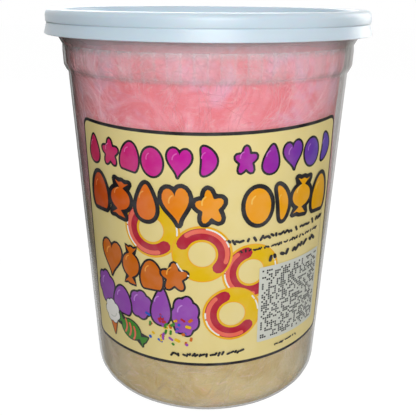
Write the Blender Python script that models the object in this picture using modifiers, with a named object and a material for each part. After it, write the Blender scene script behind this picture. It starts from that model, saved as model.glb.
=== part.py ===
"""A clear deli tub filled with cotton candy, with a press-on lid and a wrap-round label.

The tub stands on the ground plane, its centre line on +Z, and the label faces -Y.
Lengths are in metres. A profile is a list of (radius, height) points that runs from
the top, down the outer side, to the centre line.
"""

import math

import bmesh
import bpy

# Driving dimensions
TOTAL_HEIGHT = 0.143
LID_RADIUS = 0.059
WALL = 0.00075
LID_THICKNESS = 0.0009
GAP = 0.0003

# Tub: a tapered wall on a rounded base, a ribbed band near the top, a flared collar
FOOT_RADIUS = 0.0348
FOOT_WIDTH = 0.0048
BASE_RISE = 0.0012
CORNER_RADIUS = 0.0096
CORNER_STEPS = 3
TAPER = math.radians(3.4)
WALL_TOP = 0.122
BAND_STEP = 0.0013
BAND_ROUND = 0.0022
BAND_TOP = 0.1312
BAND_RADIUS = 0.05275
COLLAR_FLARE = math.radians(30)
COLLAR_HEIGHT = 0.0062
RIM_STEP = 0.0006
RIM_HEIGHT = 0.0026
RIM_TOP = TOTAL_HEIGHT - LID_THICKNESS - GAP

# Ribs on the band, one on every second of its flat sides
SIDES = 80
RIB_HEIGHT = 0.00035
RIB_SLOPE = 0.0007

# Lid: a sunken panel, a raised crown round it and a skirt that hangs over the tub's rim
PANEL_DEPTH = 0.0056
PANEL_RADIUS = 0.0514
CROWN_INNER_RADIUS = 0.0532
CROWN_RADIUS = 0.0582
CROWN_ROUND = 0.0017
CROWN_STEPS = 2
CROWN_FOOT = 0.1387
GROOVE = 0.0003
SKIRT_BOTTOM = 0.1352

# Cotton candy: a pink upper layer on a cream lower one
FLOSS_TOP = 0.1356
FLOSS_SPLIT = 0.076
FLOSS_SIDES = 30
FLOSS_ROW = 0.012
FLOSS_RINGS = 4
FLOSS_DENT = 0.0007
SEAM_WAVE = 0.002
SEAM_WAVE_LENGTHS = (0.09, 0.11)
FOLD_PITCHES = (0.07, 0.05)

# Label: a rounded rectangle laid round the tapered wall
LABEL_WIDTH = 0.102
LABEL_HEIGHT = 0.084
LABEL_ROUND = 0.003
LABEL_THICKNESS = 0.0002
LABEL_MIDDLE = 0.0654
LABEL_SHIFT = 0.0012
LABEL_TILT = math.radians(1.2)
LABEL_STRIP = 0.004

COLOURS = {
    "tub": ((0.86, 0.87, 0.88, 1.0), 0.25),
    "lid": ((0.66, 0.78, 0.88, 1.0), 0.35),
    "pink_floss": ((0.80, 0.30, 0.34, 1.0), 0.9),
    "cream_floss": ((0.66, 0.54, 0.36, 1.0), 0.9),
    "label": ((0.80, 0.70, 0.35, 1.0), 0.5),
}


def clear_scene():
    for old in list(bpy.data.objects):
        bpy.data.objects.remove(old)


def parts_collection():
    collection = bpy.data.collections.new("cotton_candy_tub")
    bpy.context.scene.collection.children.link(collection)
    return collection


def finish_for(name):
    colour, roughness = COLOURS[name]
    material = bpy.data.materials.new(name)
    material.use_nodes = True
    shader = material.node_tree.nodes["Principled BSDF"]
    shader.inputs["Base Color"].default_value = colour
    shader.inputs["Roughness"].default_value = roughness
    shader.inputs["Metallic"].default_value = 0.0
    return material


def add_object(name, mesh, collection):
    made = bpy.data.objects.new(name, mesh)
    collection.objects.link(made)
    if name in COLOURS:
        mesh.materials.append(finish_for(name))
    return made


def arc(centre_radius, centre_height, radius, start, end, steps):
    """Points round part of a circle, with start and end in degrees, 0 pointing outwards."""
    points = []
    for step in range(steps + 1):
        angle = math.radians(start + (end - start) * step / steps)
        points.append(
            (centre_radius + radius * math.cos(angle), centre_height + radius * math.sin(angle))
        )
    return points


def wall_radius(height):
    """The tub's outer radius at a height on its tapered wall."""
    lowest = FOOT_RADIUS + CORNER_RADIUS * math.cos(TAPER)
    start = CORNER_RADIUS * (1 - math.sin(TAPER))
    return lowest + (height - start) * math.tan(TAPER)


def tub_profile():
    """The tub's outer side, from the rim down to the middle of the base."""
    wall_top_radius = wall_radius(WALL_TOP)
    step_radius = wall_top_radius + BAND_STEP
    collar_top = BAND_TOP + COLLAR_HEIGHT
    collar_radius = BAND_RADIUS + COLLAR_HEIGHT * math.tan(COLLAR_FLARE)
    rim = [
        (collar_radius + RIM_STEP, RIM_TOP),
        (collar_radius + RIM_STEP, RIM_TOP - RIM_HEIGHT),
        (collar_radius, collar_top),
    ]
    band = [
        (BAND_RADIUS, BAND_TOP),
        (step_radius, WALL_TOP + BAND_ROUND),
        (step_radius - 0.25 * BAND_STEP, WALL_TOP + 0.4 * BAND_ROUND),
        (wall_top_radius, WALL_TOP),
    ]
    corner = arc(FOOT_RADIUS, CORNER_RADIUS, CORNER_RADIUS, -math.degrees(TAPER), -90, CORNER_STEPS)
    base = [
        (FOOT_RADIUS - FOOT_WIDTH, 0),
        (FOOT_RADIUS - FOOT_WIDTH - BASE_RISE, BASE_RISE),
        (0, BASE_RISE),
    ]
    return rim + band + corner + base


def lid_profile():
    """The lid's upper side, from the middle of the panel out to the edge of the skirt."""
    panel_height = TOTAL_HEIGHT - PANEL_DEPTH
    fillet = CROWN_INNER_RADIUS - PANEL_RADIUS
    panel = [(0, panel_height), (PANEL_RADIUS, panel_height)]
    inner_side = [
        (CROWN_INNER_RADIUS - 0.3 * fillet, panel_height + 0.7 * fillet),
        (CROWN_INNER_RADIUS, TOTAL_HEIGHT - 0.5 * CROWN_ROUND),
        (CROWN_INNER_RADIUS + 0.5 * CROWN_ROUND, TOTAL_HEIGHT),
    ]
    outer_corner = arc(
        CROWN_RADIUS - CROWN_ROUND, TOTAL_HEIGHT - CROWN_ROUND, CROWN_ROUND, 90, 0, CROWN_STEPS
    )
    skirt = [
        (CROWN_RADIUS, CROWN_FOOT),
        (CROWN_RADIUS - GROOVE, CROWN_FOOT - GROOVE),
        (LID_RADIUS, SKIRT_BOTTOM),
    ]
    return panel + inner_side + outer_corner + skirt


def inset(profile, distance):
    """The profile moved inwards by distance, square to each of its stretches."""
    normals = []
    for (r0, z0), (r1, z1) in zip(profile, profile[1:]):
        length = math.hypot(r1 - r0, z1 - z0)
        normals.append(((z1 - z0) / length, (r0 - r1) / length))
    moved = []
    for index, (radius, height) in enumerate(profile):
        before = normals[max(index - 1, 0)]
        after = normals[min(index, len(normals) - 1)]
        across = 1 + before[0] * after[0] + before[1] * after[1]
        moved.append(
            (
                max(0.0, radius + distance * (before[0] + after[0]) / across),
                height + distance * (before[1] + after[1]) / across,
            )
        )
    moved[-1] = (0.0, moved[-1][1])
    return moved


def crossing(profile, height):
    """The point where a profile first falls past a height."""
    for (r0, z0), (r1, z1) in zip(profile, profile[1:]):
        if z1 < height <= z0:
            share = (z0 - height) / (z0 - z1)
            return (r0 + (r1 - r0) * share, height)
    return profile[-1]


def between(profile, top, bottom):
    """The stretch of a falling profile from one height down to another."""
    middle = [point for point in profile if bottom < point[1] < top]
    return [crossing(profile, top)] + middle + [crossing(profile, bottom)]


def with_rows(profile, spacing):
    """The profile with points added, so that no stretch of it is longer than spacing."""
    points = [profile[0]]
    for (r0, z0), (r1, z1) in zip(profile, profile[1:]):
        count = max(1, math.ceil(math.hypot(r1 - r0, z1 - z0) / spacing))
        for step in range(1, count + 1):
            points.append((r0 + (r1 - r0) * step / count, z0 + (z1 - z0) * step / count))
    return points


def turned(name, profile, sides, collection):
    """A mesh object made by turning a profile about +Z."""
    mesh = bpy.data.meshes.new(name + "_profile")
    points = [(radius, 0, height) for radius, height in profile]
    edges = [(index, index + 1) for index in range(len(points) - 1)]
    mesh.from_pydata(points, edges, [])
    outline = add_object(name + "_profile", mesh, collection)
    screw = outline.modifiers.new("turn", "SCREW")
    screw.axis = "Z"
    screw.steps = sides
    screw.render_steps = sides
    screw.use_merge_vertices = True
    screw.merge_threshold = 0.00001
    evaluated = outline.evaluated_get(bpy.context.evaluated_depsgraph_get())
    solid_mesh = bpy.data.meshes.new_from_object(evaluated)
    solid_mesh.name = name
    bpy.data.objects.remove(outline)
    return add_object(name, solid_mesh, collection)


def thicken(shape, thickness):
    shell = shape.modifiers.new("wall", "SOLIDIFY")
    shell.thickness = thickness
    shell.offset = -1
    shell.use_even_offset = True
    shell.use_rim = True


def smooth(shape, degrees=35):
    shape.data.shade_smooth()
    shape.data.set_sharp_from_angle(angle=math.radians(degrees))


def raise_ribs(shape):
    """Lifts every second flat side of the band into a low rib."""
    low = WALL_TOP + BAND_ROUND
    cage = bmesh.new()
    cage.from_mesh(shape.data)
    ribs = []
    for face in cage.faces:
        middle = face.calc_center_median()
        turn = math.atan2(middle.y, middle.x) % math.tau
        column = int(turn / math.tau * SIDES)
        if low < middle.z < BAND_TOP and column % 2 == 1:
            ribs.append(face)
    bmesh.ops.inset_individual(
        cage, faces=ribs, thickness=RIB_SLOPE, depth=RIB_HEIGHT, use_even_offset=True
    )
    cage.to_mesh(shape.data)
    cage.free()


def make_tub(collection):
    tub = turned("tub", tub_profile(), SIDES, collection)
    raise_ribs(tub)
    smooth(tub)
    thicken(tub, WALL)


def make_lid(collection):
    lid = turned("lid", lid_profile(), SIDES, collection)
    smooth(lid)
    thicken(lid, LID_THICKNESS)


def seam_height(x, y):
    """How far the seam between the two colours rises above its mean height at a place.

    Two slow waves that cross each other keep it from looking level.
    """
    first, second = SEAM_WAVE_LENGTHS
    ripple = math.sin(math.tau * x / first + 1) + math.cos(math.tau * (y - 0.7 * x) / second)
    return SEAM_WAVE * ripple


def dented(x, y, z):
    """The share of its radius that the soft fill keeps where folds draw it off the wall.

    The folds lean: five climb one way round the tub and three the other way.
    """
    first, second = FOLD_PITCHES
    turn = math.atan2(y, x)
    lump = math.sin(5 * turn + math.tau * z / first) * math.cos(3 * turn - math.tau * z / second)
    return 1 - FLOSS_DENT * (1 + lump) / max(math.hypot(x, y), FOOT_RADIUS)


def make_floss(collection):
    """Two soft bodies that fill the tub, the pink one resting on the cream one."""
    lining = inset(tub_profile(), WALL + GAP)
    floor = BASE_RISE + WALL + GAP
    upper = with_rows(between(lining, FLOSS_TOP, FLOSS_SPLIT + 0.5 * GAP), FLOSS_ROW)
    lower = with_rows(between(lining, FLOSS_SPLIT - 0.5 * GAP, floor), FLOSS_ROW)
    rings = [lower[0][0] * ring / FLOSS_RINGS for ring in range(FLOSS_RINGS)]
    top = [(radius, FLOSS_TOP) for radius in rings]
    underside = [(radius, FLOSS_SPLIT + 0.5 * GAP) for radius in reversed(rings)]
    upside = [(radius, FLOSS_SPLIT - 0.5 * GAP) for radius in rings]
    for name, outline in (
        ("pink_floss", top + upper + underside),
        ("cream_floss", upside + lower + [(0, floor)]),
    ):
        body = turned(name, outline, FLOSS_SIDES, collection)
        for vertex in body.data.vertices:
            x, y, z = vertex.co
            rise = seam_height(x, y) if abs(z - FLOSS_SPLIT) < GAP else 0.0
            lean = rise * math.tan(TAPER) / max(math.hypot(x, y), FOOT_RADIUS)
            keep = dented(x, y, z) + lean
            vertex.co = (x * keep, y * keep, z + rise)
        smooth(body, 60)


def rounded_rectangle(width, height, radius, steps):
    """Corner-rounded outline points in the flat, counter-clockwise, about the middle."""
    outline = []
    for quarter in range(4):
        side_x = 1 if quarter in (0, 3) else -1
        side_y = 1 if quarter < 2 else -1
        for step in range(steps + 1):
            angle = math.radians(90 * quarter + 90 * step / steps)
            outline.append(
                (
                    side_x * (width / 2 - radius) + radius * math.cos(angle),
                    side_y * (height / 2 - radius) + radius * math.sin(angle),
                )
            )
    return outline


def on_wall(x, y, lift):
    """Where a point of the flat label lies once it is wrapped round the tapered wall.

    The wall is part of a cone. Unrolled, the cone is a fan about its tip, so the flat
    point's distance and bearing from the tip give its height and its turn.
    """
    tip_to_middle = wall_radius(LABEL_MIDDLE) / math.sin(TAPER)
    tilted_x = x * math.cos(LABEL_TILT) - y * math.sin(LABEL_TILT) + LABEL_SHIFT
    tilted_y = x * math.sin(LABEL_TILT) + y * math.cos(LABEL_TILT)
    from_tip = math.hypot(tilted_x, tip_to_middle + tilted_y)
    bearing = math.atan2(tilted_x, tip_to_middle + tilted_y) / math.sin(TAPER)
    height = LABEL_MIDDLE + (from_tip - tip_to_middle) * math.cos(TAPER)
    radius = from_tip * math.sin(TAPER) + lift * math.cos(TAPER)
    return (
        radius * math.sin(bearing),
        -radius * math.cos(bearing),
        height - lift * math.sin(TAPER),
    )


def make_label(collection):
    """A flat sheet cut into upright strips, wrapped round the wall and given thickness."""
    flat = bmesh.new()
    outline = rounded_rectangle(LABEL_WIDTH, LABEL_HEIGHT, LABEL_ROUND, 3)
    flat.faces.new([flat.verts.new((x, y, 0)) for x, y in outline])
    cuts = int(LABEL_WIDTH / LABEL_STRIP)
    for cut in range(1, cuts):
        place = -LABEL_WIDTH / 2 + cut * LABEL_WIDTH / cuts
        bmesh.ops.bisect_plane(
            flat,
            geom=flat.verts[:] + flat.edges[:] + flat.faces[:],
            plane_co=(place, 0, 0),
            plane_no=(1, 0, 0),
        )
    for vertex in flat.verts:
        vertex.co = on_wall(vertex.co.x, vertex.co.y, GAP + LABEL_THICKNESS)
    mesh = bpy.data.meshes.new("label")
    flat.to_mesh(mesh)
    flat.free()
    label = add_object("label", mesh, collection)
    smooth(label, 30)
    thicken(label, LABEL_THICKNESS)


def main():
    clear_scene()
    collection = parts_collection()
    make_tub(collection)
    make_lid(collection)
    make_floss(collection)
    make_label(collection)


main()
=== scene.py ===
# %% [markdown]
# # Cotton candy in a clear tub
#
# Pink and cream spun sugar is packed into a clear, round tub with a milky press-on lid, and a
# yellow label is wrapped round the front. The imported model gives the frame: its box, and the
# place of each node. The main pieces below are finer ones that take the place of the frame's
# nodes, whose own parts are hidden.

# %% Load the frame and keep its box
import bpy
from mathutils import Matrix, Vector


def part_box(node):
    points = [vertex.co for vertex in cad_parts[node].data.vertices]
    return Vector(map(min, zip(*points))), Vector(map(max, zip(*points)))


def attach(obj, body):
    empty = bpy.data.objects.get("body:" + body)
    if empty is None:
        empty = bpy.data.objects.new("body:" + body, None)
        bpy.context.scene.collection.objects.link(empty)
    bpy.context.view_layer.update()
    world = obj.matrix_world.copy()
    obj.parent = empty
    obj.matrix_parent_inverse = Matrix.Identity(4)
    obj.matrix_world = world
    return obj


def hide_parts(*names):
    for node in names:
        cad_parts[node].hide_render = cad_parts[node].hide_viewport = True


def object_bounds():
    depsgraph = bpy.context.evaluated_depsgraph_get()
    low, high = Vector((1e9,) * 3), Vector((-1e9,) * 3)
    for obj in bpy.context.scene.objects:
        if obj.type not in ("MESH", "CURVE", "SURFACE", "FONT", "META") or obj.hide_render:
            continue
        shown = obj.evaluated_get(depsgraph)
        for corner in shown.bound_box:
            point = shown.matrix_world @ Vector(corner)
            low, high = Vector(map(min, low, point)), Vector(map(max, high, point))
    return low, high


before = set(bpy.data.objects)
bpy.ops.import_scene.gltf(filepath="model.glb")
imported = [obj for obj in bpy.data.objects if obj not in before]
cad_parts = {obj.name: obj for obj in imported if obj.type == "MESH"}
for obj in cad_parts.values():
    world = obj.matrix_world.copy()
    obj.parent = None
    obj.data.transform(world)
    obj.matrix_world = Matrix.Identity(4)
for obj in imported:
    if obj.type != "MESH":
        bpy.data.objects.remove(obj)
cad_box = [list(corner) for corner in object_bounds()]

import math
import random

import bmesh
import bpy
import numpy as np
from mathutils import Matrix, Vector, noise

print("frame box in metres:", cad_box)

# %% [markdown]
# ## Sizes
#
# Sizes are in metres. The heights of the whole, the lid's radius and the seam between the two
# colours come from the frame. The rest are the same driving dimensions as the frame's own
# solids: a foot, a round corner, a wall that leans out by 3.4 degrees, a ribbed band and a
# collar that flares under the lid.

# %% Driving dimensions
MM = 0.001
TOTAL_HEIGHT = cad_box[1][2]
LID_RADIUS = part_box("lid")[1][0]
SKIRT_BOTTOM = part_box("lid")[0][2]
RIM_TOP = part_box("tub")[1][2]
FLOSS_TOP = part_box("pink_floss")[1][2]
SEAM = (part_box("pink_floss")[0][2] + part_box("cream_floss")[1][2]) / 2

WALL = 0.75 * MM
TAPER = math.radians(3.4)
FOOT_RADIUS = 34.8 * MM
FOOT_WIDTH = 4.8 * MM
BASE_RISE = 1.2 * MM
CORNER_RADIUS = 9.6 * MM
WALL_TOP = 122 * MM
BAND_STEP = 1.3 * MM
BAND_ROUND = 2.2 * MM
BAND_TOP = 131.2 * MM
BAND_RADIUS = 52.75 * MM
COLLAR_TOP = 137.4 * MM
COLLAR_RADIUS = 56.3 * MM


def wall_radius(height):
    """The tub's outer radius at a height on its leaning wall."""
    foot = FOOT_RADIUS + CORNER_RADIUS * math.cos(TAPER)
    return foot + (height - CORNER_RADIUS * (1 - math.sin(TAPER))) * math.tan(TAPER)


print(f"{TOTAL_HEIGHT / MM:.1f} mm high, seam at {SEAM / MM:.1f} mm")

# %% [markdown]
# ## Turned shapes
#
# The tub, the lid and the two fillings are all round. Blender could turn a profile with the
# Screw modifier, but here the rings are also pushed in and out, for ribs and folds, so one
# helper lays a grid of points round the centre line and joins them. An outline starts on the
# centre line, on the upper side, and ends on it again underneath.

# %% Helpers for outlines: round corners, even spacing and an inward offset
ARC_STEP = math.radians(15)


def rounded(corners):
    """A path of (radius, height) points in which each (r, z, bend) corner is an arc."""
    path = [corners[0][:2]]
    for start, corner, end in zip(corners, corners[1:], corners[2:]):
        here = Vector(corner[:2])
        before = (Vector(start[:2]) - here).normalized()
        after = (Vector(end[:2]) - here).normalized()
        half = before.angle(after) / 2
        if corner[2] == 0 or half > math.radians(89):
            path.append(tuple(here))
            continue
        centre = here + (before + after).normalized() * corner[2] / math.sin(half)
        reach = corner[2] / math.tan(half)
        first = here + before * reach - centre
        last = here + after * reach - centre
        sweep = (math.atan2(last.y, last.x) - math.atan2(first.y, first.x) + math.pi) % math.tau
        sweep -= math.pi
        steps = max(2, round(abs(sweep) / ARC_STEP))
        for step in range(steps + 1):
            turn = Matrix.Rotation(sweep * step / steps, 2)
            path.append(tuple(centre + turn @ first))
    path.append(corners[-1][:2])
    return path


def spaced(path, spacing):
    """The path with points added, so that no stretch is longer than spacing."""
    points = [path[0]]
    for (r0, z0), (r1, z1) in zip(path, path[1:]):
        count = max(1, math.ceil(math.hypot(r1 - r0, z1 - z0) / spacing))
        for step in range(1, count + 1):
            points.append((r0 + (r1 - r0) * step / count, z0 + (z1 - z0) * step / count))
    return points


def moved_in(path, distance):
    """The path moved to its left by distance, which is inwards where it runs downwards."""
    normals = []
    for (r0, z0), (r1, z1) in zip(path, path[1:]):
        length = math.hypot(r1 - r0, z1 - z0)
        normals.append(((z1 - z0) / length, (r0 - r1) / length))
    moved = []
    for index, (radius, height) in enumerate(path):
        before = normals[max(index - 1, 0)]
        after = normals[min(index, len(normals) - 1)]
        across = 1 + before[0] * after[0] + before[1] * after[1]
        shift_r = distance * (before[0] + after[0]) / across
        shift_z = distance * (before[1] + after[1]) / across
        moved.append((max(0.0, radius + shift_r), height + shift_z))
    return moved


# %% Helper that turns an outline into a closed mesh
def new_piece(name, points, faces, node, sharp=40):
    """A smooth mesh object that rides on the one body; a given node's part is hidden."""
    mesh = bpy.data.meshes.new(name)
    mesh.from_pydata(points, [], faces)
    mesh.shade_smooth()
    mesh.set_sharp_from_angle(angle=math.radians(sharp))
    piece = bpy.data.objects.new(name, mesh)
    bpy.context.scene.collection.objects.link(piece)
    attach(piece, "root")
    if node:
        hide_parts(node)
    print(f"{name}: {len(mesh.vertices)} points, {len(mesh.polygons)} faces")
    return piece


def turned(name, outline, columns, node, shape=None, sharp=40):
    """Turns an outline about +Z. shape(turn, radius, height) may push the grid's points."""
    rings = outline[1:-1]
    turn = np.arange(columns) * math.tau / columns
    turn, radius = np.meshgrid(turn, [ring[0] for ring in rings])
    height = np.repeat(np.array([[ring[1]] for ring in rings]), columns, axis=1)
    if shape:
        radius, height = shape(turn, radius, height)
    x, y = radius * np.sin(turn), -radius * np.cos(turn)
    points = np.stack([x, y, height], axis=-1).reshape(-1, 3).tolist()
    top = len(points)
    points += [(0, 0, outline[0][1]), (0, 0, outline[-1][1])]
    faces = []
    for column in range(columns):
        after = (column + 1) % columns
        faces.append((top, column, after))
        for row in range(len(rings) - 1):
            low, high = row * columns, (row + 1) * columns
            faces.append((low + column, high + column, high + after, low + after))
        last = (len(rings) - 1) * columns
        faces.append((top + 1, last + after, last + column))
    return new_piece(name, points, faces, node, sharp)


# %% [markdown]
# ## Materials as sums
#
# A finish is a small network of nodes. Written as Python, `mask * 0.5 + 0.1` is easier to read
# than two boxes and three wires. `Wire` stands for the output of a node and adds a Math node
# for each operator, and `Finish.node` makes every other kind of node. A colour written as on
# screen, from 0 to 255, becomes the linear colour that a shader works in.

# %% The wire and the finish
class Wire:
    """The output of a node in a finish, which can be used in sums."""

    def __init__(self, finish, socket):
        self.finish = finish
        self.socket = socket

    def maths(self, operation, *values):
        return self.finish.node(
            "ShaderNodeMath", {"operation": operation}, dict(enumerate(values))
        )

    def __add__(self, other):
        return self.maths("ADD", self, other)

    def __sub__(self, other):
        return self.maths("SUBTRACT", self, other)

    def __mul__(self, other):
        return self.maths("MULTIPLY", self, other)

    def __truediv__(self, other):
        return self.maths("DIVIDE", self, other)

    def __pow__(self, other):
        return self.maths("POWER", self, other)

    def clamped(self):
        """The value kept between 0 and 1."""
        return self.maths("MINIMUM", self.maths("MAXIMUM", self, 0.0), 1.0)

    def between(self, low, high):
        """0 below low, 1 above high and a soft step from one to the other."""
        return self.finish.node(
            "ShaderNodeMapRange",
            {"interpolation_type": "SMOOTHSTEP"},
            {"Value": self, "From Min": low, "From Max": high},
        )


class Finish:
    """A material, or the world's light, that is built up node by node."""

    def __init__(self, name, world=None):
        self.material = world or bpy.data.materials.new(name)
        self.material.use_nodes = True
        self.tree = self.material.node_tree
        self.tree.nodes.clear()
        kind = "ShaderNodeOutputWorld" if world else "ShaderNodeOutputMaterial"
        self.output = self.tree.nodes.new(kind)

    def node(self, kind, settings=None, values=None, out=0):
        """A node of any kind: its settings first, then the values or wires of its inputs."""
        made = self.tree.nodes.new(kind)
        for key, value in (settings or {}).items():
            if key == "stops":
                self.set_stops(made.color_ramp, value)
            else:
                setattr(made, key, value)
        for key, value in (values or {}).items():
            if isinstance(value, Wire):
                self.tree.links.new(value.socket, made.inputs[key])
            else:
                made.inputs[key].default_value = value
        return Wire(self, made.outputs[out])

    def set_stops(self, ramp, stops):
        while len(ramp.elements) > 1:
            ramp.elements.remove(ramp.elements[-1])
        for index, (place, tone) in enumerate(stops):
            stop = ramp.elements[0] if index == 0 else ramp.elements.new(place)
            stop.position = place
            stop.color = tone

    def place(self):
        """The point on the object, in metres."""
        return self.node("ShaderNodeTexCoord", out="Object")

    def axis(self, name):
        """One coordinate of the point on the object."""
        return self.node("ShaderNodeSeparateXYZ", values={0: self.place()}, out=name)

    def noise(self, size, detail=3.0, roughness=0.5, distortion=0.0, stretch=(1, 1, 1)):
        """Soft noise from 0 to 1 whose blotches are about size metres across."""
        scaled = self.node(
            "ShaderNodeVectorMath",
            {"operation": "MULTIPLY"},
            {0: self.place(), 1: [1 / (size * part) for part in stretch]},
        )
        values = {"Vector": scaled, "Scale": 1.0, "Detail": detail}
        values |= {"Roughness": roughness, "Distortion": distortion}
        return self.node("ShaderNodeTexNoise", values=values)

    def mix(self, share, first, second):
        """A colour between two colours."""
        return self.node(
            "ShaderNodeMix",
            {"data_type": "RGBA"},
            {"Factor": share, 6: first, 7: second},
            out=2,
        )

    def bump(self, height, distance, strength=1.0):
        values = {"Height": height, "Distance": distance, "Strength": strength}
        return self.node("ShaderNodeBump", values=values, out="Normal")

    def body(self, **values):
        """The Principled shader, with its inputs given by name."""
        named = {key.replace("_", " "): value for key, value in values.items()}
        return self.node("ShaderNodeBsdfPrincipled", values=named)

    def finish_with(self, shader):
        self.tree.links.new(shader.socket, self.output.inputs["Surface"])
        print("finish:", self.material.name, len(self.tree.nodes), "nodes")
        return self.material


def colour(red, green, blue):
    """A colour written as on screen, from 0 to 255, turned to linear values."""
    linear = []
    for part in (red, green, blue):
        share = part / 255
        linear.append(share / 12.92 if share <= 0.04045 else ((share + 0.055) / 1.055) ** 2.4)
    return (*linear, 1.0)


def dress(piece, material):
    piece.data.materials.clear()
    piece.data.materials.append(material)


# %% [markdown]
# ## The tub
#
# The real tub is thin, clear polypropylene, moulded with a band of upright ribs below the
# collar. Glass would be the usual choice for a clear wall, but thin plastic hardly bends
# light, and refraction through many thin layers turns dark and grainy. So the wall lets most
# light straight through, and a share of it is a milky white plastic: a little on the flat
# wall, more on the ribs and edges, and most where the wall is seen edge on. There its colour
# turns grey, which is painted shade and a painted dark reflection.

# %% The tub's outline and its ribs
RIBS = 40
RIB_PHASE = math.radians(6.75)
RIB_SHARE = 0.5
RIB_SIDE = 0.05
RIB_HEIGHT = 0.22 * MM
TUB_COLUMNS = RIBS * 12

outer_corners = [
    (COLLAR_RADIUS + 0.6 * MM, RIM_TOP, 0),
    (COLLAR_RADIUS + 0.6 * MM, COLLAR_TOP + 1.8 * MM, 0.3 * MM),
    (COLLAR_RADIUS, COLLAR_TOP, 0.4 * MM),
    (BAND_RADIUS, BAND_TOP, 0.5 * MM),
    (wall_radius(WALL_TOP) + BAND_STEP, WALL_TOP + BAND_ROUND, 1.0 * MM),
    (wall_radius(WALL_TOP) + 0.5 * BAND_STEP, WALL_TOP + 0.2 * BAND_ROUND, 0.3 * MM),
    (wall_radius(WALL_TOP), WALL_TOP - 0.2 * BAND_ROUND, 0.4 * MM),
    (wall_radius(0), 0, CORNER_RADIUS),
    (FOOT_RADIUS - FOOT_WIDTH, 0, 0.4 * MM),
    (FOOT_RADIUS - FOOT_WIDTH - BASE_RISE, BASE_RISE, 0.4 * MM),
    (0, BASE_RISE, 0),
]
tub_outside = rounded(outer_corners)
tub_inside = moved_in(tub_outside, WALL)
LINING = sorted((z, r) for r, z in tub_inside if r > FOOT_RADIUS)
FLOOR = tub_inside[-1][1]


def lining_radius(height):
    """The radius of the tub's inner wall at a height or at many heights."""
    return np.interp(height, [z for z, _ in LINING], [r for _, r in LINING])


def rib(turn):
    """1 on a rib, 0 between ribs, with a short slope at each side of the rib."""
    phase = ((turn - RIB_PHASE) / math.tau * RIBS) % 1
    from_middle = np.minimum(phase, 1 - phase)
    return np.clip((RIB_SHARE / 2 + RIB_SIDE / 2 - from_middle) / RIB_SIDE, 0, 1)


def rib_push(turn, radius, height):
    """Lifts the ribs off the band, with a soft run-out at each end."""
    outside = radius > lining_radius(height) + 0.5 * WALL
    low = np.clip((height - WALL_TOP) / BAND_ROUND, 0, 1)
    high = np.clip((BAND_TOP + 0.6 * MM - height) / (2.5 * MM), 0, 1)
    on_band = outside * low**2 * (3 - 2 * low) * high**2 * (3 - 2 * high)
    return radius + RIB_HEIGHT * on_band * rib(turn), height


outline = tub_inside[::-1] + tub_outside
clear_tub = turned(
    "clear_tub", spaced(outline, 2.5 * MM), TUB_COLUMNS, "tub", rib_push, sharp=50
)

# %% How milky each part of the wall is
places = np.array([tuple(vertex.co) for vertex in clear_tub.data.vertices])
turn = np.arctan2(places[:, 0], -places[:, 1])
height = places[:, 2]
on_rib = rib(turn)
rib_edge = np.exp(-(((on_rib - 0.5) / 0.3) ** 2))
band = np.clip((height - WALL_TOP + 0.6 * MM) / MM, 0, 1) * (height < BAND_TOP)
lower_line = np.exp(-(((height - WALL_TOP - 0.5 * MM) / (0.5 * MM)) ** 2))
upper_line = np.exp(-(((height - BAND_TOP) / (0.5 * MM)) ** 2))
collar = np.clip((height - BAND_TOP) / (2.5 * MM), 0, 1)
milk = 0.02 + band * (0.05 + 0.04 * on_rib + 0.09 * rib_edge)
milk += 0.06 * lower_line + 0.20 * upper_line + 0.28 * collar
milk += 0.3 * np.clip(1 - height / (7 * MM), 0, 1)
milk_layer = clear_tub.data.attributes.new("milk", "FLOAT", "POINT")
milk_layer.data.foreach_set("value", milk)

# %% The clear plastic
# Edge on, much of the plastic shows, and its grey colour there is painted shade and a painted
# dark reflection.
EDGE_POWER = 3.5
EDGE_MILK_AND_SHADE = 0.85
clear = Finish("clear_plastic")
milk = clear.node("ShaderNodeAttribute", {"attribute_name": "milk"}, out="Fac")
edge_on = clear.node("ShaderNodeLayerWeight", values={"Blend": 0.5}, out="Facing")
cloudy = clear.noise(18 * MM, detail=2.0)
share = (milk + edge_on**EDGE_POWER * EDGE_MILK_AND_SHADE + (cloudy - 0.5) * 0.04).clamped()
# White haze on the open wall, turning grey edge on: the grey is painted shade and a painted dark
# reflection.
haze_and_painted_edge_shade = clear.mix(edge_on.between(0.4, 0.8), colour(240, 241, 244), colour(138, 139, 130))
plastic = clear.body(Base_Color=haze_and_painted_edge_shade, Roughness=0.24, IOR=1.49, Specular_IOR_Level=0.4)
open_wall = clear.node("ShaderNodeBsdfTransparent", values={"Color": (1, 1, 1, 1)})
wall = clear.node("ShaderNodeMixShader", values={0: share, 1: open_wall, 2: plastic})
dress(clear_tub, clear.finish_with(wall))

# %% [markdown]
# ## The lid
#
# The lid is the same plastic, but thicker and tinted a milky pale blue. It has a sunken panel,
# so that tubs stack, a crown with a soft outer edge, a fine groove and a skirt that flares out
# over the rim. It is turned in one go, upper side first, then back along the underside.

# %% The lid's outline
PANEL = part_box("lid")[1][2] - 5.6 * MM
PANEL_RADIUS = 51.4 * MM
CROWN_INSIDE = 53.2 * MM
CROWN_OUTSIDE = 58.2 * MM
GROOVE_HEIGHT = 138.5 * MM
LID_THICKNESS = 0.9 * MM
LID_COLUMNS = 240

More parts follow.
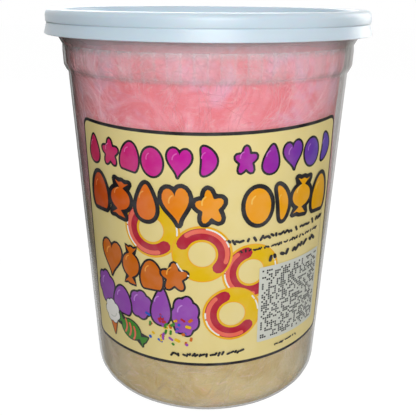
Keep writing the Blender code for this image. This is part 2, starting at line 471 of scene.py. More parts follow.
lid_top = rounded(
    [
        (0, PANEL - 0.3 * MM, 0),
        (43.0 * MM, PANEL - 0.3 * MM, 0.5 * MM),
        (43.8 * MM, PANEL, 0.5 * MM),
        (PANEL_RADIUS, PANEL, 0.8 * MM),
        (CROWN_INSIDE, TOTAL_HEIGHT, 0.8 * MM),
        (CROWN_OUTSIDE, TOTAL_HEIGHT, 1.9 * MM),
        (CROWN_OUTSIDE, GROOVE_HEIGHT + 0.4 * MM, 0.15 * MM),
        (CROWN_OUTSIDE - 0.35 * MM, GROOVE_HEIGHT, 0.15 * MM),
        (LID_RADIUS - 0.15 * MM, SKIRT_BOTTOM, 0),
    ]
)
lid_under = moved_in(lid_top, LID_THICKNESS)
lip = (
    (lid_top[-1][0] + lid_under[-1][0]) / 2,
    min(lid_top[-1][1], lid_under[-1][1]),
)
lid_outline = lid_top + [lip] + lid_under[::-1]
press_lid = turned("press_lid", spaced(lid_outline, 3 * MM), LID_COLUMNS, "lid")

# %% The milky lid plastic
milky = Finish("milky_blue_plastic")
blotch = milky.noise(30 * MM, detail=2.0)
tint = milky.mix(blotch.between(0.35, 0.65), colour(194, 212, 224), colour(201, 217, 228))
grain = milky.noise(0.5 * MM, detail=2.0)
lid_plastic = milky.body(
    Base_Color=tint,
    Roughness=(blotch * 0.08 + 0.3).clamped(),
    IOR=1.49,
    Subsurface_Weight=0.2,
    Subsurface_Scale=0.003,
    Sheen_Weight=0.25,
    Sheen_Roughness=0.4,
    Normal=milky.bump(grain, 0.02 * MM, 0.3),
)
dress(press_lid, milky.finish_with(lid_plastic))

# %% [markdown]
# ## The spun sugar
#
# Cotton candy is a tangle of hair-fine sugar threads. Pushed into a tub it presses flat
# against the wall in most places and folds away from it in others. Each colour is a closed
# body with those folds in its surface, and thousands of real threads lie over it in brushed
# wisps. Hair would not survive an export, so every thread is a thin three-sided tube.

# %% Where the folds lie
GAP_BEARING = math.radians(82)
GAP_REACH = math.radians(17)
GAP_DEPTH = 1.6 * MM
GAP_RISE = 25 * MM


def fold_depth(turn, height):
    """How far the sugar lies inside the tub's wall at a bearing and a height, in metres."""
    place = Vector((math.sin(turn), -math.cos(turn), 0)) * 0.05 + Vector((0, 0, height))
    swirl = noise.noise_vector(place * 26) * 0.010
    broad = 0.5 + 0.5 * noise.noise((place + swirl) * 55)
    tuft = 0.5 + 0.5 * noise.noise((place + swirl) * 150)
    from_gap = (math.remainder(turn, math.tau) - GAP_BEARING) / GAP_REACH
    gap = GAP_DEPTH * math.exp(-(from_gap**4)) * min(1.0, max(0.0, (height - SEAM) / GAP_RISE))
    near_floor = min(1.0, max(0.0, (height - FLOOR) / (9 * MM)))
    return gap + (broad**2 * 0.9 * MM + tuft * 0.25 * MM) * near_floor


def seam_rise(turn, radius):
    """How far the seam between the colours rises above its mean height."""
    x, y = radius * math.sin(turn), -radius * math.cos(turn)
    slow = noise.noise(Vector((x, y, 0)) * 25) * 5 * MM
    return slow + noise.noise(Vector((x, y, 4)) * 90) * 2 * MM


# %% The two bodies of pressed sugar
FLOSS_COLUMNS = 288
INTO_WALL = 0.15 * MM
SEAM_GAP = 0.03 * MM


def folded(turn, radius, height):
    """Lets the sugar sink in from the wall, and its seam roll up and down."""
    radius, height = radius.copy(), height.copy()
    for row in range(radius.shape[0]):
        on_seam = abs(height[row, 0] - SEAM) < 1.5 * SEAM_GAP
        reach = np.clip(radius[row, 0] / lining_radius(height[row, 0]), 0, 1) ** 3
        for column in range(radius.shape[1]):
            bearing = turn[row, column]
            if on_seam:
                height[row, column] += seam_rise(bearing, radius[row, column])
            sink = fold_depth(bearing, height[row, column]) * reach
            radius[row, column] = max(0.5 * MM, radius[row, column] + INTO_WALL * reach - sink)
    return radius, height


def side_path(top, bottom, spacing):
    """Points down the tub's lining from one height to another."""
    count = math.ceil((top - bottom) / spacing)
    heights = [top + (bottom - top) * step / count for step in range(count + 1)]
    return [(float(lining_radius(z)), z) for z in heights]


SIDE_ROW = 0.8 * MM
pink_side = side_path(FLOSS_TOP - 1.2 * MM, SEAM + SEAM_GAP, SIDE_ROW)
pink_top = [(0, FLOSS_TOP), (0.95 * pink_side[0][0], FLOSS_TOP)]
pink_outline = spaced(pink_top, 3 * MM) + pink_side
pink_outline += spaced([pink_side[-1], (0, SEAM + SEAM_GAP)], 5 * MM)[1:]
pink_body = turned(
    "pink_sugar", pink_outline, FLOSS_COLUMNS, "pink_floss", folded, sharp=60
)

cream_side = side_path(SEAM - SEAM_GAP, CORNER_RADIUS, SIDE_ROW)
cream_foot = [point for point in tub_inside if point[1] < CORNER_RADIUS]
cream_outline = spaced([(0, SEAM - SEAM_GAP), cream_side[0]], 5 * MM) + cream_side[1:]
cream_outline += spaced(cream_foot, 3 * MM)
cream_body = turned(
    "cream_sugar", cream_outline, FLOSS_COLUMNS, "cream_floss", folded, sharp=60
)

# %% The colours of the sugar
CORAL = colour(238, 130, 140)
ROSE = colour(246, 162, 174)
LILAC = colour(238, 174, 196)
PEACH = colour(224, 182, 134)
CREAM = colour(214, 194, 142)
SAND = colour(202, 176, 118)
VEIL = colour(248, 216, 216)


def sugar_colour(finish, lighter=0.0):
    """Pink above the seam and cream below it, with soft blotches and a soft change."""
    blotch = finish.noise(16 * MM, detail=4.0, roughness=0.6, distortion=1.2)
    patch = finish.noise(11 * MM, detail=3.0, distortion=0.6)
    drift = finish.noise(9 * MM, detail=4.0, distortion=1.5)
    pink = finish.mix(blotch.between(0.40, 0.62), CORAL, ROSE)
    pink = finish.mix(patch.between(0.50, 0.72) * 0.8, pink, LILAC)
    veil = finish.noise(5 * MM, 5.0, 0.65, 2.5, stretch=(1.4, 1.4, 0.6))
    cream = finish.mix(blotch.between(0.38, 0.66), SAND, CREAM)
    cream = finish.mix(patch.between(0.56, 0.74) * 0.6, cream, PEACH)
    level = finish.axis("Z") + (drift - 0.5) * 14 * MM
    both = finish.mix(level.between(SEAM - 9 * MM, SEAM + 7 * MM), cream, pink)
    both = finish.mix(veil.between(0.5, 0.8) * 0.5, both, VEIL)
    return finish.mix(lighter, both, colour(255, 240, 240))


def sugar_finish(name, lighter=0.0):
    """Matt sugar, with a faint nap of fibres."""
    finish = Finish(name)
    nap = finish.noise(1.2 * MM, detail=5.0, roughness=0.7, distortion=2.0)
    shader = finish.body(
        Base_Color=sugar_colour(finish, lighter),
        Roughness=0.85,
        Specular_IOR_Level=0.2,
        Subsurface_Weight=0.15,
        Subsurface_Scale=0.002,
        Normal=finish.bump(nap, 0.12 * MM, 0.4),
    )
    return finish.finish_with(shader)


sugar = sugar_finish("pressed_sugar")
dress(pink_body, sugar)
dress(cream_body, sugar)

# %% [markdown]
# ### Threads
#
# A wisp is a handful of threads that start close together and run the same way for one or two
# centimetres. Their heading follows a slow noise field, so that neighbouring wisps flow
# together like brushed hair, and each thread wanders a little of its own accord.

# %% Threads in wisps
THREAD_POINTS = 9
THREAD_SIDES = 3
WISP_THREADS = 9
WISP_LENGTH = 16 * MM
WISP_SPREAD = 1.3 * MM


def wisp_paths(draw, wisps, low, high):
    """Paths of threads as arrays of points that lie just over the sugar's folds."""
    paths = []
    for _ in range(wisps):
        turn, height = draw.uniform(-math.pi, math.pi), draw.uniform(low, high)
        place = Vector((math.sin(turn), -math.cos(turn), 0)) * 0.05 + Vector((0, 0, height))
        heading = math.pi * 1.6 * noise.noise(place * 22) + draw.gauss(0.5, 0.5)
        for _ in range(WISP_THREADS):
            own_turn = turn + draw.gauss(0, WISP_SPREAD) / 0.048
            own_height = height + draw.gauss(0, WISP_SPREAD)
            own_heading = heading + draw.gauss(0, 0.12)
            step = WISP_LENGTH * draw.uniform(0.5, 1.3) / THREAD_POINTS
            lift = draw.uniform(-0.04, 0.06) * MM
            path = []
            for _ in range(THREAD_POINTS):
                own_height = min(max(own_height, FLOOR + 1 * MM), FLOSS_TOP - 1.5 * MM)
                radius = float(lining_radius(own_height)) + INTO_WALL
                radius -= max(0.0, fold_depth(own_turn, own_height) - lift)
                x, y = radius * math.sin(own_turn), -radius * math.cos(own_turn)
                path.append((x, y, own_height))
                own_turn += step * math.cos(own_heading) / radius
                own_height += step * math.sin(own_heading)
                own_heading += draw.gauss(0, 0.16)
            paths.append(path)
    return np.array(paths)


def tubes(name, paths, thickness, node):
    """Thin tapered tubes along many paths, joined in one mesh."""
    along = np.gradient(paths, axis=1)
    along /= np.linalg.norm(along, axis=2, keepdims=True)
    out = paths * (1, 1, 0)
    out /= np.linalg.norm(out, axis=2, keepdims=True)
    across = np.cross(along, out)
    across /= np.linalg.norm(across, axis=2, keepdims=True)
    out = np.cross(across, along)
    taper = np.sin(np.linspace(0.15, math.pi - 0.15, paths.shape[1])) ** 0.5
    width = (thickness * taper)[None, :, None]
    rings = []
    for side in range(THREAD_SIDES):
        angle = side * math.tau / THREAD_SIDES
        rings.append(paths + width * (math.cos(angle) * out + math.sin(angle) * across))
    points = np.stack(rings, axis=2).reshape(-1, 3)
    faces = []
    ring_size = THREAD_SIDES * paths.shape[1]
    for thread in range(paths.shape[0]):
        start = thread * ring_size
        for row in range(paths.shape[1] - 1):
            low = start + row * THREAD_SIDES
            high = low + THREAD_SIDES
            for side in range(THREAD_SIDES):
                after = (side + 1) % THREAD_SIDES
                faces.append((low + side, low + after, high + after, high + side))
        end = start + ring_size - THREAD_SIDES
        faces.append(tuple(start + side for side in reversed(range(THREAD_SIDES))))
        faces.append(tuple(end + side for side in range(THREAD_SIDES)))
    return new_piece(name, points.tolist(), faces, node, sharp=30)


draw = random.Random(7)
THREADS = [
    ("pink_threads", 420, SEAM - 6 * MM, FLOSS_TOP - 3 * MM, 0.08 * MM, 0.12, "pink_floss"),
    ("pale_threads", 260, SEAM - 2 * MM, FLOSS_TOP - 3 * MM, 0.06 * MM, 0.4, "pink_floss"),
    ("cream_threads", 380, FLOOR + 2 * MM, SEAM + 4 * MM, 0.08 * MM, 0.2, "cream_floss"),
]
for name, wisps, low, high, thickness, lighter, slot in THREADS:
    paths = wisp_paths(draw, wisps, low, high)
    dress(tubes(name, paths, thickness, None), sugar_finish(name, lighter))

# %% [markdown]
# ## The label
#
# The label is a flat sheet when it is printed. The tub's wall is part of a cone, and a cone
# unrolls into a fan about its tip, so each flat point's distance and bearing from the tip give
# its height and its turn on the tub. Everything printed is laid out flat, cut into upright
# strips and wrapped by that one rule. Each ink is a thin film a little above the last one.

# %% Wrap flat points round the wall
LABEL_WIDTH = 102 * MM
LABEL_HEIGHT = 84.5 * MM
LABEL_ROUND = 3 * MM
LABEL_MIDDLE = 65.2 * MM
LABEL_SHIFT = 1.6 * MM
LABEL_TILT = math.radians(0.6)
SHEET_LIFT = 0.14 * MM
INK_LIFT = 0.02 * MM
STRIP = 2.5 * MM


def on_wall(x, y, lift):
    """Where a flat point, in metres, lies on the wall at a height above its surface."""
    tip = wall_radius(LABEL_MIDDLE) / math.sin(TAPER)
    from_tip = math.hypot(x, tip + y)
    bearing = math.atan2(x, tip + y) / math.sin(TAPER)
    radius = from_tip * math.sin(TAPER) + lift * math.cos(TAPER)
    height = LABEL_MIDDLE + (from_tip - tip) * math.cos(TAPER) - lift * math.sin(TAPER)
    return (radius * math.sin(bearing), -radius * math.cos(bearing), height)


def flat_film(loops, layer):
    """One flat shape, with loops in mm, filled, cut into strips and wrapped on its layer."""
    film = bmesh.new()
    edges = []
    for loop in loops:
        corners = [film.verts.new((x * MM, y * MM, 0)) for x, y in loop]
        edges += [film.edges.new(pair) for pair in zip(corners, corners[1:] + corners[:1])]
    bmesh.ops.triangle_fill(film, use_beauty=True, edges=edges, normal=(0, 0, 1))
    reach = [vertex.co.x for vertex in film.verts]
    for cut in range(math.ceil(min(reach) / STRIP), math.ceil(max(reach) / STRIP)):
        everything = film.verts[:] + film.edges[:] + film.faces[:]
        bmesh.ops.bisect_plane(
            film, geom=everything, plane_co=(cut * STRIP, 0, 0), plane_no=(1, 0, 0)
        )
    lift = SHEET_LIFT + layer * INK_LIFT
    for vertex in film.verts:
        vertex.co = on_wall(vertex.co.x, vertex.co.y, lift)
    film.verts.ensure_lookup_table()
    for face in film.faces:
        face.normal_update()
        if face.normal.dot(face.calc_center_median() * Vector((1, 1, 0))) < 0:
            face.normal_flip()
    return film


def print_flat(name, shapes, thickness, node=None):
    """All the shapes of one ink, each a (layer, loops) pair, joined in one thin film."""
    points, faces = [], []
    for layer, loops in shapes:
        film = flat_film(loops, layer)
        film.verts.index_update()
        front, back = len(points), len(points) + len(film.verts)
        inwards = [(vertex.co * Vector((1, 1, 0))).normalized() for vertex in film.verts]
        points += [tuple(vertex.co) for vertex in film.verts]
        points += [tuple(v.co - way * thickness) for v, way in zip(film.verts, inwards)]
        for face in film.faces:
            corners = [vertex.index for vertex in face.verts]
            faces.append([front + corner for corner in corners])
            faces.append([back + corner for corner in reversed(corners)])
            for start, end in zip(corners, corners[1:] + corners[:1]):
                if film.edges.get((film.verts[start], film.verts[end])).is_boundary:
                    faces.append([front + end, front + start, back + start, back + end])
        film.free()
    return new_piece(name, points, faces, node)


# %% Flat shapes, in millimetres
def placed(points, x, y, width, height, tilt=0.0):
    """Unit points scaled to a width and height, tilted in degrees and moved."""
    turn = math.radians(tilt)
    moved = []
    for across, up in points:
        across, up = across * width / 2, up * height / 2
        moved.append(
            (
                x + across * math.cos(turn) - up * math.sin(turn),
                y + across * math.sin(turn) + up * math.cos(turn),
            )
        )
    return moved


def disc(steps=28):
    return [
        (math.cos(math.tau * step / steps), math.sin(math.tau * step / steps))
        for step in range(steps)
    ]


def box_with_round_corners(width, height, radius, steps=5):
    """A rounded rectangle about the middle."""
    points = []
    for quarter in range(4):
        side_x = 1 if quarter in (0, 3) else -1
        side_y = 1 if quarter < 2 else -1
        for step in range(steps + 1):
            angle = math.radians(90 * quarter + 90 * step / steps)
            points.append(
                (
                    side_x * (width / 2 - radius) + radius * math.cos(angle),
                    side_y * (height / 2 - radius) + radius * math.sin(angle),
                )
            )
    return points


def bean():
    """A jelly bean: an upright oval that bows to one side."""
    return [(0.68 * x + 0.52 * (1 - y * y) - 0.34, y) for x, y in disc()]


def drop():
    """A boiled sweet in the form of a drop, with its point up."""
    return [(x * (1 - 0.32 * (y + 1)) * 1.1, y) for x, y in disc()]


def heart():
    points = []
    for step in range(32):
        angle = math.tau * step / 32
        across = math.sin(angle) ** 3
        up = 13 * math.cos(angle) - 5 * math.cos(2 * angle) - 2 * math.cos(3 * angle)
        points.append((across, (up - math.cos(4 * angle) + 2.5) / 14.5))
    return points


def star():
    """A soft five-pointed star."""
    points = []
    for step in range(40):
        angle = math.tau * step / 40
        reach = 0.78 + 0.22 * math.cos(5 * angle)
        points.append((reach * math.sin(angle), reach * math.cos(angle)))
    return points


def gumdrop():
    """A dome with a flat foot and round corners."""
    return [(x * (1 - 0.18 * y), max(y, -0.72) * 1.16 - 0.16) for x, y in disc(36)]


def twist():
    """A wrapped sweet, upright: a round middle with a fan at each end."""
    bow = [math.radians(angle) for angle in range(-70, 71, 10)]
    body = [(0.95 * math.cos(angle), 0.62 * math.sin(angle)) for angle in bow]
    right = [(0.66, -1), (0.16, -0.66)] + body + [(0.16, 0.66), (0.66, 1), (0.3, 0.92)]
    return right + [(0, 1)] + [(-x, y) for x, y in right[::-1]] + [(-0.3, -0.92), (0, -1)]


def puff(lobes=7, depth=0.14):
    """A round cloud with lobes round its edge."""
    points = []
    for step in range(lobes * 8):
        angle = math.tau * step / (lobes * 8)
        reach = 1 - depth + depth * abs(math.sin(lobes * angle / 2))
        points.append((reach * math.cos(angle), reach * math.sin(angle)))
    return points


def grown(points, margin, steps=64):
    """The loop round everything that lies within a margin of a shape, seen from its middle."""
    dense = []
    for start, end in zip(points, points[1:] + points[:1]):
        parts = math.ceil(math.dist(start, end) / (margin / 2)) + 1
        dense.append(np.linspace(start, end, parts))
    dense = np.concatenate(dense)
    middle = dense.mean(axis=0)
    loop = []
    for step in range(steps):
        way = np.array([math.cos(math.tau * step / steps), math.sin(math.tau * step / steps)])
        along = (dense - middle) @ way
        aside = (dense - middle) @ np.array([way[1], -way[0]])
        reach = along + np.sqrt(np.maximum(margin**2 - aside**2, 0))
        reach = reach[np.abs(aside) < margin].max()
        loop.append(tuple((middle + reach * way).tolist()))
    return loop


def stroke(points, width):
    """A loop round an open line, with round ends: a pen stroke."""
    left, right = [], []
    for index, (x, y) in enumerate(points):
        x0, y0 = points[max(index - 1, 0)]
        x1, y1 = points[min(index + 1, len(points) - 1)]
        length = math.hypot(x1 - x0, y1 - y0) or 1
        nx, ny = -(y1 - y0) / length * width / 2, (x1 - x0) / length * width / 2
        left.append((x + nx, y + ny))
        right.append((x - nx, y - ny))
    ends = []
    for (x, y), (x0, y0) in ((points[-1], points[-2]), (points[0], points[1])):
        heading = math.atan2(y - y0, x - x0)
        cap = [heading + math.radians(angle) for angle in (60, 20, -20, -60)]
        ends.append([(x + width / 2 * math.cos(a), y + width / 2 * math.sin(a)) for a in cap])
    return left + ends[0] + right[::-1] + ends[1]


def arc_line(x, y, radius, start, end, steps=14):
    """Points along part of a circle, with angles in degrees."""
    angles = [math.radians(start + (end - start) * step / steps) for step in range(steps + 1)]
    return [(x + radius * math.cos(angle), y + radius * math.sin(angle)) for angle in angles]


# %% The label's sheet and its dark border
BORDER_SIDE = 0.65
BORDER_END = 1.1


def tilted(points):
    """Points set about the label's own middle, with its slight tilt."""
    cosine, sine = math.cos(LABEL_TILT), math.sin(LABEL_TILT)
    shift = LABEL_SHIFT / MM
    return [(x * cosine - y * sine + shift, x * sine + y * cosine) for x, y in points]


wide, high, bend = LABEL_WIDTH / MM, LABEL_HEIGHT / MM, LABEL_ROUND / MM
sheet_edge = tilted(box_with_round_corners(wide, high, bend))
border_inside = tilted(
    box_with_round_corners(wide - 2 * BORDER_SIDE, high - 2 * BORDER_END, bend - 0.5)
)
sheet = print_flat("label_sheet", [(0, [sheet_edge])], 0.1 * MM, node="label")

# %% [markdown]
# ### What is printed
#
# The print is a cheerful sweet-shop pattern: a row of small sweets that runs from crimson to
# violet, a row of larger ones from brick red to gold, a short orange and a short purple row,
# four sugared rings, sprinkles, a pale panel of dots and rows of dark flecks. Each shape goes on
# the list of its ink, with the layer it is printed on. A dark keyline is the same shape, grown a
# little, one layer below.

# %% The list of shapes for each ink
FILM = 0.012 * MM
inks = {}


def stamp(ink_name, layer, *loops):
    inks.setdefault(ink_name, []).append((layer, loops))


def keyed(ink_name, layer, loop, margin):
    """A shape with a dark keyline round it."""
    stamp("black", layer, grown(loop, margin))
    stamp(ink_name, layer + 1, loop)


stamp("black", 1, sheet_edge, border_inside)

# %% Rows of sweets
SMALL_SWEETS = [
    (-43.1, 6.6, drop), (-34.7, 7.6, star), (-26.3, 7.0, gumdrop), (-18.0, 7.2, disc),
    (-9.0, 7.8, heart), (0.1, 6.8, bean), (12.4, 7.4, star), (21.1, 6.8, drop),
    (29.7, 7.6, heart), (38.2, 7.0, disc), (46.2, 6.4, bean),
]
LARGE_SWEETS = [
    (-41.0, 8.2, gumdrop), (-30.8, 8.8, twist), (-20.4, 8.6, drop), (-9.9, 9.0, heart),
    (1.0, 9.6, star), (17.0, 9.0, disc), (26.0, 5.2, bean), (34.4, 8.8, twist),
    (44.4, 8.0, gumdrop),
]
ORANGE_SWEETS = [
    (-36.6, -7.0, 10.0, 13.4, heart), (-27.4, -6.8, 7.2, 14.0, twist),
    (-19.2, -8.6, 8.2, 10.6, gumdrop), (-10.8, -8.2, 9.6, 10.8, star),
]
PURPLE_SWEETS = [
    (-41.0, -20.4, 10.4, 13.4, puff), (-32.4, -22.0, 8.4, 10.6, gumdrop),
    (-24.0, -21.4, 9.4, 10.8, puff), (-15.8, -20.2, 8.6, 14.4, drop),
    (-7.2, -22.8, 9.6, 15.2, puff),
]
SMALL_ROW = 32.3
LARGE_ROW = 17.2
draw = random.Random(3)


def sweet(ink_name, layer, form, x, y, width, height, key):
    """A sweet with a keyline and a small shine at its upper left."""
    tilt = draw.uniform(-9, 9)
    keyed(ink_name, layer, placed(form(), x, y, width, height, tilt), key)
    bend = 0.27 * min(width, height)
    shine = arc_line(x, y + 0.12 * height, bend, 115 + tilt, 185 + tilt, 8)
    stamp(f"{ink_name}_shine", layer + 2, stroke(shine, 0.2 * bend))


for x, width, form in SMALL_SWEETS:
    sweet("berry", 1, form, x, SMALL_ROW + draw.uniform(-0.7, 0.7), width, 9.4, 0.75)
for x, width, form in LARGE_SWEETS:
    sweet("amber", 12, form, x, LARGE_ROW + draw.uniform(-0.7, 0.7), width, 12.4, 1.5)
for index, (x, y, width, height, form) in enumerate(PURPLE_SWEETS):
    sweet("purple", 1 + 3 * (index % 2), form, x, y, width, height, 0.75)
for index, (x, y, width, height, form) in enumerate(ORANGE_SWEETS):
    sweet("orange", 7 + 3 * (index % 2), form, x, y, width, height, 0.75)

# %% Four sugared rings
RING, HOLE = 10.2, 4.5
SUGARED_RINGS = [
    (-18.9, 8.2, 95, 312, 1), (-1.5, 0.9, -42, 152, 6),
    (15.3, -6.4, 104, 300, 1), (8.9, -21.7, 112, 318, 6),
]


def circle(x, y, radius):
    return placed(disc(48), x, y, 2 * radius, 2 * radius)


for x, y, start, end, layer in SUGARED_RINGS:
    stamp("gold", layer, circle(x, y, RING), circle(x, y, HOLE)[::-1])
    stamp("lemon", layer + 1, circle(x, y, RING - 0.5), circle(x, y, HOLE + 0.4)[::-1])
    stamp("crimson", layer + 2, stroke(arc_line(x, y, 7.35, start, end, 30), 4.1))
    stamp("peach", layer + 3, stroke(arc_line(x, y, 8.35, start + 22, end - 24, 24), 1.5))
    middle = (start + end) / 2
    for first, last in ((middle - 38, middle - 26), (middle - 20, middle + 26),
                        (middle + 150, middle + 172), (middle + 178, middle + 186)):
        stamp("white", layer + 4, stroke(arc_line(x, y, 9.2, first, last, 10), 0.55))

# %% A puff of cotton candy, a wrapped sweet and sprinkles
keyed("orange", 10, [(-36.9, -38.2), (-35.4, -31.5), (-39.8, -32.0)], 0.4)
keyed("white", 12, placed(puff(), -38.0, -28.8, 8.4, 9.6, 10), 0.3)
stamp("panel", 14, stroke(arc_line(-38.0, -28.8, 2.3, 250, 350, 10), 0.5))
keyed("green", 10, placed(twist(), -28.4, -32.8, 7.6, 14.2, 62), 0.5)
for step in (-1.9, 0.0, 1.9):
    band = arc_line(-28.4 + step - 5, -32.8 - 0.5 * step, 5, -32, 28, 8)
    stamp("peach", 12, stroke(band, 0.75))
SPRINKLES = 42
for index in range(SPRINKLES):
    x, y = draw.uniform(-21.0, -4.5), draw.uniform(-34.4, -23.5)
    tilt, long = draw.uniform(0, 180), draw.uniform(1.0, 2.2)
    tone = ("crimson", "lemon", "green", "blue", "orange", "purple")[index % 6]
    bit = box_with_round_corners(long, draw.uniform(0.8, 1.2), 0.35, 2)
    stamp(tone, 8 + index % 3, placed(bit, x, y, 2, 2, tilt))

# %% The panel of dots and the rows of flecks
PANEL_X, PANEL_Y, PANEL_WIDE, PANEL_HIGH = 32.7, -20.1, 28.9, 29.2
DOT_PITCH, DOT = 0.84, 0.64
panel = box_with_round_corners(PANEL_WIDE, PANEL_HIGH, 0.4, 1)
stamp("panel", 11, placed(panel, PANEL_X, PANEL_Y, 2, 2))
across_count = int((PANEL_WIDE - 1.6) / DOT_PITCH)
up_count = int((PANEL_HIGH - 1.6) / DOT_PITCH)
square = [(-DOT, -DOT), (DOT, -DOT), (DOT, DOT), (-DOT, DOT)]
for column in range(across_count):
    for row in range(up_count):
        if draw.random() < 0.5:
            x = PANEL_X + (column - (across_count - 1) / 2) * DOT_PITCH
            y = PANEL_Y + (row - (up_count - 1) / 2) * DOT_PITCH
            stamp("black", 12, placed(square, x, y, 1, 1))

FLECK_ROWS = [
    (7.4, 5.2, 48.8, 6.6, 2.5), (11.5, 1.5, 45.3, 3.1, 1.6), (22.3, -2.4, 42.9, -0.2, 3.3),
    (-11.9, -38.2, 14.7, -36.8, 2.2), (25.9, -37.8, 36.3, -37.2, 1.5),
]
for x0, y0, x1, y1, tall in FLECK_ROWS:
    x, slope = x0, (y1 - y0) / (x1 - x0)
    while x < x1:
        long = draw.uniform(0.55, 1.0) * tall
        fleck = box_with_round_corners(0.38 * tall, long, 0.18 * tall, 2)
        y = y0 + (x - x0) * slope + draw.uniform(-0.1, 0.1) * tall
        stamp("black", 13, placed(fleck, x, y, 2, 2, draw.uniform(-80, 80)))
        x += tall * draw.choice([0.42, 0.5, 0.6, 0.95])

# %% Flat inks
def ink(name, *tones, low=-48 * MM, high=48 * MM):
    """A satin printed colour, faintly uneven. Several tones run from left to right."""
    finish = Finish(name)
    uneven = finish.noise(6 * MM, detail=3.0)
    base = tones[0]
    if len(tones) > 1:
        place = ((finish.axis("X") - low) / (high - low)).clamped()
        stops = [(index / (len(tones) - 1), tone) for index, tone in enumerate(tones)]
        base = finish.node("ShaderNodeValToRGB", {"stops": stops}, {"Fac": place})
    paler = finish.mix(uneven.between(0.3, 0.8) * 0.05, base, colour(255, 255, 255))
    shader = finish.body(Base_Color=paler, Roughness=0.5, Specular_IOR_Level=0.2)
    return finish.finish_with(shader)


INKS = {
    "black": [colour(22, 20, 24)],
    "berry": [
        colour(178, 40, 48), colour(206, 40, 104), colour(202, 30, 140), colour(188, 4, 160),
        colour(160, 24, 160), colour(108, 56, 164), colour(72, 72, 168),
    ],
    "amber": [
        colour(168, 44, 24), colour(222, 100, 0), colour(238, 150, 0), colour(238, 162, 0),
        colour(226, 170, 0),
    ],
    "berry_shine": [colour(226, 110, 140), colour(212, 90, 190), colour(140, 120, 210)],
    "amber_shine": [colour(216, 96, 70), colour(246, 190, 80), colour(240, 206, 90)],
    "orange": [colour(206, 104, 0), colour(196, 100, 0)],
    "orange_shine": [colour(236, 160, 60)],
    "purple": [colour(138, 66, 166), colour(166, 88, 190)],
    "purple_shine": [colour(190, 130, 214)],
    "gold": [colour(236, 172, 16)],
    "lemon": [colour(228, 186, 0)],
    "crimson": [colour(176, 24, 50)],
    "peach": [colour(232, 108, 86)],
    "white": [colour(238, 236, 230)],
    "green": [colour(56, 130, 30)],
    "blue": [colour(30, 90, 190)],
    "panel": [colour(210, 212, 202)],
}
dress(sheet, ink("label_yellow", colour(232, 214, 146)))
for name, shapes in inks.items():
    printed = print_flat(f"print_{name}", shapes, FILM)
    dress(printed, ink(f"ink_{name}", *INKS[name]))

# %% [markdown]
# ## The stage
#
# The floor is a plain white sheet. To the eye it is mostly a light of its own, so that it reads
# as white, and partly a matt floor, so that it keeps the tub's shadow. The world is white to
# the eye too, but lights the tub only faintly. The four lamps are white and soft: the key in
# front, one overhead and two behind. An upright card stands at each side, out of the camera's
# sight, and gives the curved wall something darker to mirror.

# %% Floor and world
FLOOR_SIZE = 6.0
bpy.ops.mesh.primitive_plane_add(size=FLOOR_SIZE)
floor = bpy.context.object
floor.name = "floor"


def seen(finish):
    """1 for what is looked at, straight, in a reflection or through a wall, and 0 for light."""
    straight = finish.node("ShaderNodeLightPath", out="Is Camera Ray")
    mirrored = finish.node("ShaderNodeLightPath", out="Is Glossy Ray")
    through = finish.node("ShaderNodeLightPath", out="Is Transmission Ray")
    return (straight + mirrored + through).clamped()


white = Finish("floor_white")
matt = white.node("ShaderNodeBsdfDiffuse", values={"Color": colour(210, 210, 210)})
glow = white.node("ShaderNodeEmission", values={"Color": (1, 1, 1, 1), "Strength": 1.09})
paper = white.node("ShaderNodeMixShader", values={0: seen(white) * 0.9, 1: matt, 2: glow})
dress(floor, white.finish_with(paper))

AMBIENT = 0.22
studio = bpy.data.worlds.new("studio")
bpy.context.scene.world = studio
sky = Finish("studio", studio)
strength = seen(sky) * (1 - AMBIENT) + AMBIENT
sky_light = {"Color": (1, 1, 1, 1), "Strength": strength}
sky.finish_with(sky.node("ShaderNodeBackground", values=sky_light))

# %% Lamps
AIM = Vector((0, 0, TOTAL_HEIGHT / 2))


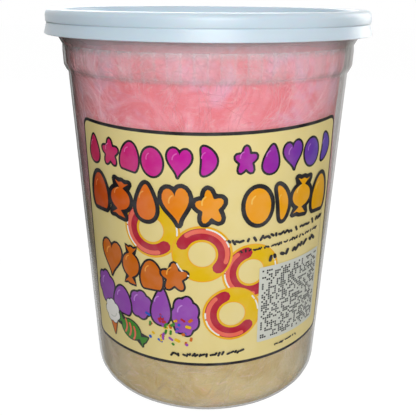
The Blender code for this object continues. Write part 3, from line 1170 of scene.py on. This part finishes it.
def lamp(name, bearing, elevation, distance, size, level):
    """A square white lamp aimed at the tub. level is what a facing white card would read."""
    light = bpy.data.lights.new(name, "AREA")
    light.size = size
    light.energy = level * math.pi**2 * distance**2
    flat, up = math.radians(bearing), math.radians(elevation)
    way = Vector((math.sin(flat) * math.cos(up), -math.cos(flat) * math.cos(up), math.sin(up)))
    placed_lamp = bpy.data.objects.new(name, light)
    placed_lamp.location = AIM + way * distance
    placed_lamp.rotation_euler = way.to_track_quat("Z", "Y").to_euler()
    bpy.context.scene.collection.objects.link(placed_lamp)
    print(f"{name}: {light.energy:.1f} W")


lamp("key", 5, 22, 0.55, 0.26, 0.61)
lamp("overhead", -60, 74, 0.6, 0.5, 0.13)
lamp("back_right", 128, 16, 0.8, 0.4, 0.30)
lamp("back_left", -172, 32, 0.8, 0.5, 0.40)

# %% Cards at both sides
CARD_HEIGHT = 126 * MM
CARD_MIDDLE = 64 * MM


def card(name, bearing, distance, wide, tone):
    """An upright card that the camera does not see, but the glossy wall does."""
    bpy.ops.mesh.primitive_plane_add(size=1)
    sheet_card = bpy.context.object
    sheet_card.name = name
    flat = math.radians(bearing)
    sheet_card.location = (distance * math.sin(flat), -distance * math.cos(flat), CARD_MIDDLE)
    sheet_card.rotation_euler = (math.radians(90), 0, flat)
    sheet_card.scale = (wide, CARD_HEIGHT, 1)
    sheet_card.visible_camera = False
    finish = Finish(name)
    dress(sheet_card, finish.finish_with(finish.body(Base_Color=tone, Roughness=1.0)))


card("dark_card", -95, 0.12, 0.32, colour(20, 20, 22))
card("grey_card", 90, 0.15, 0.20, colour(140, 138, 128))

# %% [markdown]
# ## The camera
#
# The camera stands a quarter of a metre away and a little above the lid, and looks down by 17
# degrees.

# %% Camera and view
CAMERA_BACK = 250.2 * MM
CAMERA_UP = 148 * MM
LOOK_DOWN = 16.87
ROLL = 0.42
FOCAL = 57.2
SHIFT_RIGHT = 0.0024
SHIFT_UP = -0.0319

lens = bpy.data.cameras.new("camera")
lens.sensor_width = 36
lens.lens = FOCAL
lens.shift_x = SHIFT_RIGHT
lens.shift_y = SHIFT_UP
lens.clip_start = 0.01
camera = bpy.data.objects.new("camera", lens)
tip_up = Matrix.Rotation(math.radians(90 - LOOK_DOWN), 4, "X")
level = Matrix.Rotation(math.radians(ROLL), 4, "Z")
camera.matrix_world = Matrix.Translation((0, -CAMERA_BACK, CAMERA_UP)) @ tip_up @ level
bpy.context.scene.collection.objects.link(camera)
bpy.context.scene.camera = camera
bpy.context.scene.view_settings.view_transform = "Standard"
